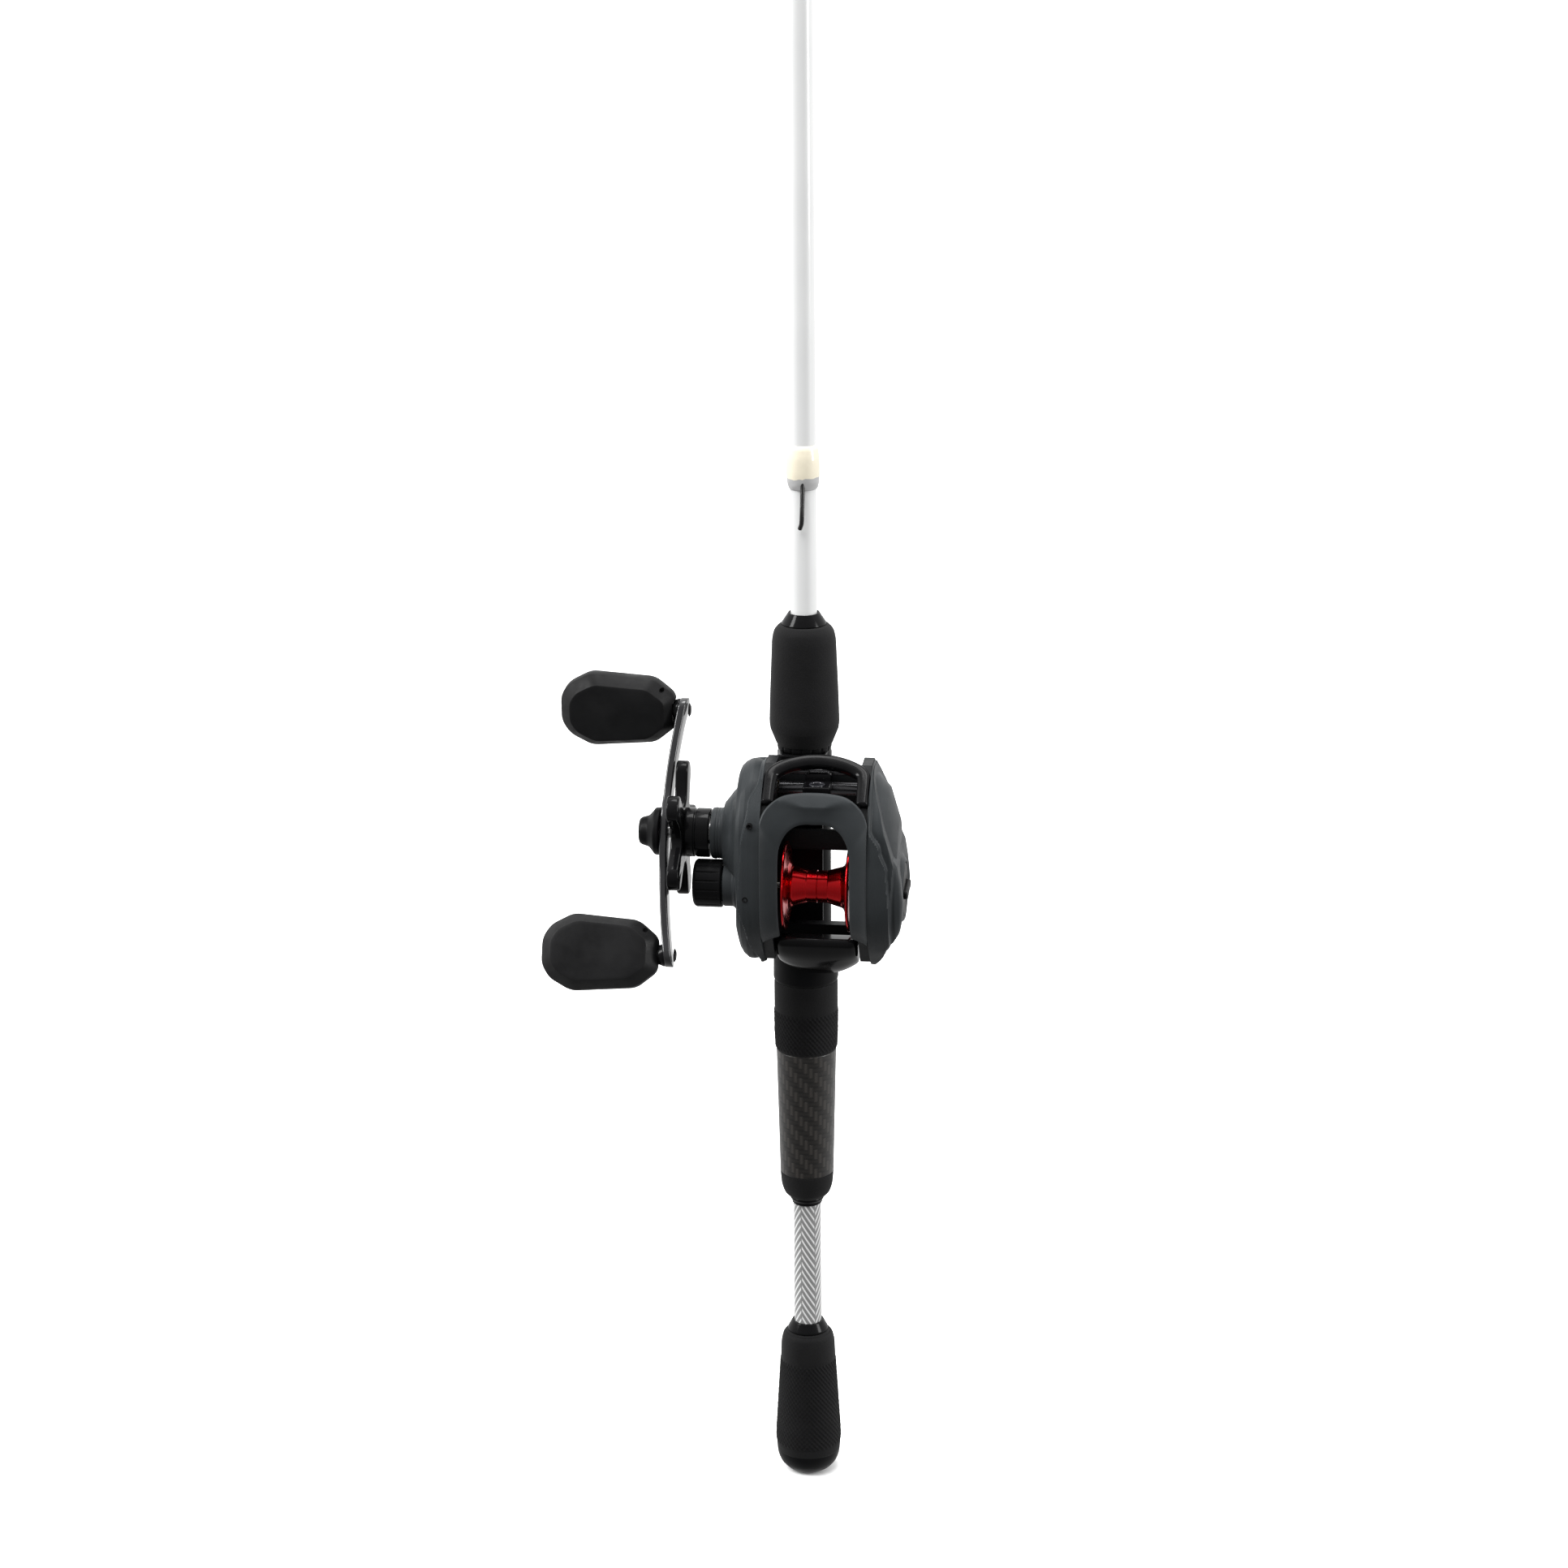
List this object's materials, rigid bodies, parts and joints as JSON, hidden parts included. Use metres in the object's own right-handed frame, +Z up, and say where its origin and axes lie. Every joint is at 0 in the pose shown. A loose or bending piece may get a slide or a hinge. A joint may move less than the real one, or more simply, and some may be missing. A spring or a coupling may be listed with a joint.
{
  "type": "fishing rod and reel",
  "caption": "Baitcasting fishing rod with split foam and carbon grips, and a low-profile reel with paddle handle, star drag, red spool and level wind.",
  "frame": {"origin": "centre of the flat end face of the butt cap", "axes": "+Z up the rod from butt to tip, the reel on the -Y side, the reel handle on the -X side"},
  "size_m": [0.1383, 0.0881, 1.9787],
  "materials": {
    "white_lacquer": "gloss",
    "eva_foam": "matte",
    "butt_rubber": "satin",
    "gloss_black": "gloss",
    "satin_black": "satin",
    "carbon_cloth": "gloss",
    "filler_foam": "matte",
    "thread_wrap": "gloss",
    "black_wire": "satin",
    "guide_steel": "polished",
    "ring_ceramic": "polished",
    "charcoal_paint": "matte",
    "frame_black": "satin",
    "red_anodised": "polished",
    "bright_steel": "polished",
    "gear_brass": "satin",
    "drag_carbon": "matte",
    "knob_rubber": "matte",
    "arm_black": "gloss"
  },
  "bodies": {
    "root": {"anti_reverse_bearing": "bright_steel", "bushings": "gear_brass", "butt_cap": "butt_rubber", "butt_grip": "eva_foam", "butt_winding_check": "gloss_black", "carbon_sleeve": "carbon_cloth", "double_foot_guides": "guide_steel", "foot_screws": "bright_steel", "front_rail": "gloss_black", "guide_inserts": "ring_ceramic", "guide_rod": "bright_steel", "guide_wraps": "thread_wrap", "handle_side_plate": "charcoal_paint", "hook_keeper": "black_wire", "keeper_wrap": "thread_wrap", "palm_side_plate": "charcoal_paint", "rear_grip_end": "eva_foam", "rear_winding_check": "satin_black", "reel_foot": "satin_black", "reel_frame": "frame_black", "reel_seat": "satin_black", "rod_blank": "white_lacquer", "seat_grip": "eva_foam", "side_plate_screws": "bright_steel", "single_foot_guides": "guide_steel", "sleeve_arbor": "filler_foam", "spool_bearings": "bright_steel", "tip_top": "guide_steel", "top_hood": "charcoal_paint", "yoke_springs": "bright_steel"},
    "hood": {"moving_hood": "satin_black"},
    "fore_lock": {"locking_nut": "satin_black", "foregrip": "eva_foam", "foregrip_check": "gloss_black"},
    "crank": {"drive_shaft": "bright_steel", "main_gear": "gear_brass", "idler_gear": "satin_black", "drag_washers": "drag_carbon", "clutch_sleeve": "bright_steel", "handle_arm": "arm_black", "handle_nut": "bright_steel", "nut_cap": "satin_black", "knob_pins": "bright_steel"},
    "star": {"star_drag": "gloss_black"},
    "knob_a": {"upper_knob": "knob_rubber"},
    "knob_b": {"lower_knob": "knob_rubber"},
    "pinion": {"pinion_gear": "gear_brass"},
    "yoke": {"clutch_yoke": "satin_black"},
    "thumb": {"thumb_bar": "gloss_black", "clutch_cam": "satin_black"},
    "spool_body": {"spool": "red_anodised", "spool_shaft": "bright_steel"},
    "worm": {"worm_shaft": "bright_steel", "worm_gear": "satin_black"},
    "carriage": {"line_guide": "gloss_black", "line_guide_insert": "ring_ceramic", "pawl": "bright_steel"},
    "cast_cap": {"cast_control_cap": "satin_black"},
    "dial": {"brake_dial": "gloss_black"},
    "magnets": {"brake_magnets": "bright_steel"}
  },
  "joints": [
    {"name": "hood_slide", "type": "slide", "parent": "root", "child": "hood", "axis": [0, 0, 1], "range_m": [0, 0.00905]},
    {"name": "foregrip_turn", "type": "hinge", "parent": "hood", "child": "fore_lock", "pos_m": [0, 0, 0.33], "axis": [0, 0, 1], "range_deg": [0, 2160]},
    {"name": "handle_turn", "type": "hinge", "parent": "root", "child": "crank", "pos_m": [0.0084, -0.025, 0.27897], "axis": [1, 0, 0], "continuous": true},
    {"name": "star_drag_turn", "type": "hinge", "parent": "crank", "child": "star", "pos_m": [0.0084, -0.025, 0.27897], "axis": [1, 0, 0], "range_deg": [-180, 540]},
    {"name": "upper_knob_spin", "type": "hinge", "parent": "crank", "child": "knob_a", "pos_m": [0.0084, -0.0011, 0.32037], "axis": [1, 0, 0], "continuous": true},
    {"name": "lower_knob_spin", "type": "hinge", "parent": "crank", "child": "knob_b", "pos_m": [0.0084, -0.0489, 0.23758], "axis": [1, 0, 0], "continuous": true},
    {"name": "thumb_bar_press", "type": "slide", "parent": "root", "child": "thumb", "axis": [0, 1, 0], "range_m": [0, 0.004]},
    {"name": "yoke_slide", "type": "slide", "parent": "root", "child": "yoke", "axis": [-1, 0, 0], "range_m": [0, 0.00151]},
    {"name": "pinion_turn", "type": "hinge", "parent": "yoke", "child": "pinion", "pos_m": [0.0084, -0.03, 0.2605], "axis": [1, 0, 0], "continuous": true},
    {"name": "spool_turn", "type": "hinge", "parent": "root", "child": "spool_body", "pos_m": [0.0084, -0.03, 0.2605], "axis": [1, 0, 0], "continuous": true},
    {"name": "worm_turn", "type": "hinge", "parent": "root", "child": "worm", "pos_m": [0.0084, -0.022, 0.29703], "axis": [1, 0, 0], "continuous": true},
    {"name": "line_guide_slide", "type": "slide", "parent": "root", "child": "carriage", "axis": [1, 0, 0], "range_m": [-0.0085, 0.0085]},
    {"name": "cast_control_turn", "type": "hinge", "parent": "root", "child": "cast_cap", "pos_m": [0.0084, -0.03, 0.2605], "axis": [1, 0, 0], "range_deg": [-360, 360]},
    {"name": "brake_dial_turn", "type": "hinge", "parent": "root", "child": "dial", "pos_m": [0.0084, -0.03, 0.2605], "axis": [1, 0, 0], "range_deg": [0, 270]},
    {"name": "magnet_slide", "type": "slide", "parent": "root", "child": "magnets", "axis": [-1, 0, 0], "range_m": [0, 0.00121]}
  ],
  "couplings": [
    {"joint": "hood_slide", "follows": "foregrip_turn", "m_per_rad": 0.00023873},
    {"joint": "pinion_turn", "follows": "handle_turn", "ratio": -6.25},
    {"joint": "spool_turn", "follows": "handle_turn", "ratio": -6.25},
    {"joint": "worm_turn", "follows": "handle_turn", "ratio": -1.6522},
    {"joint": "yoke_slide", "follows": "thumb_bar_press", "ratio": 0.375},
    {"joint": "magnet_slide", "follows": "brake_dial_turn", "m_per_rad": 0.00025465}
  ]
}
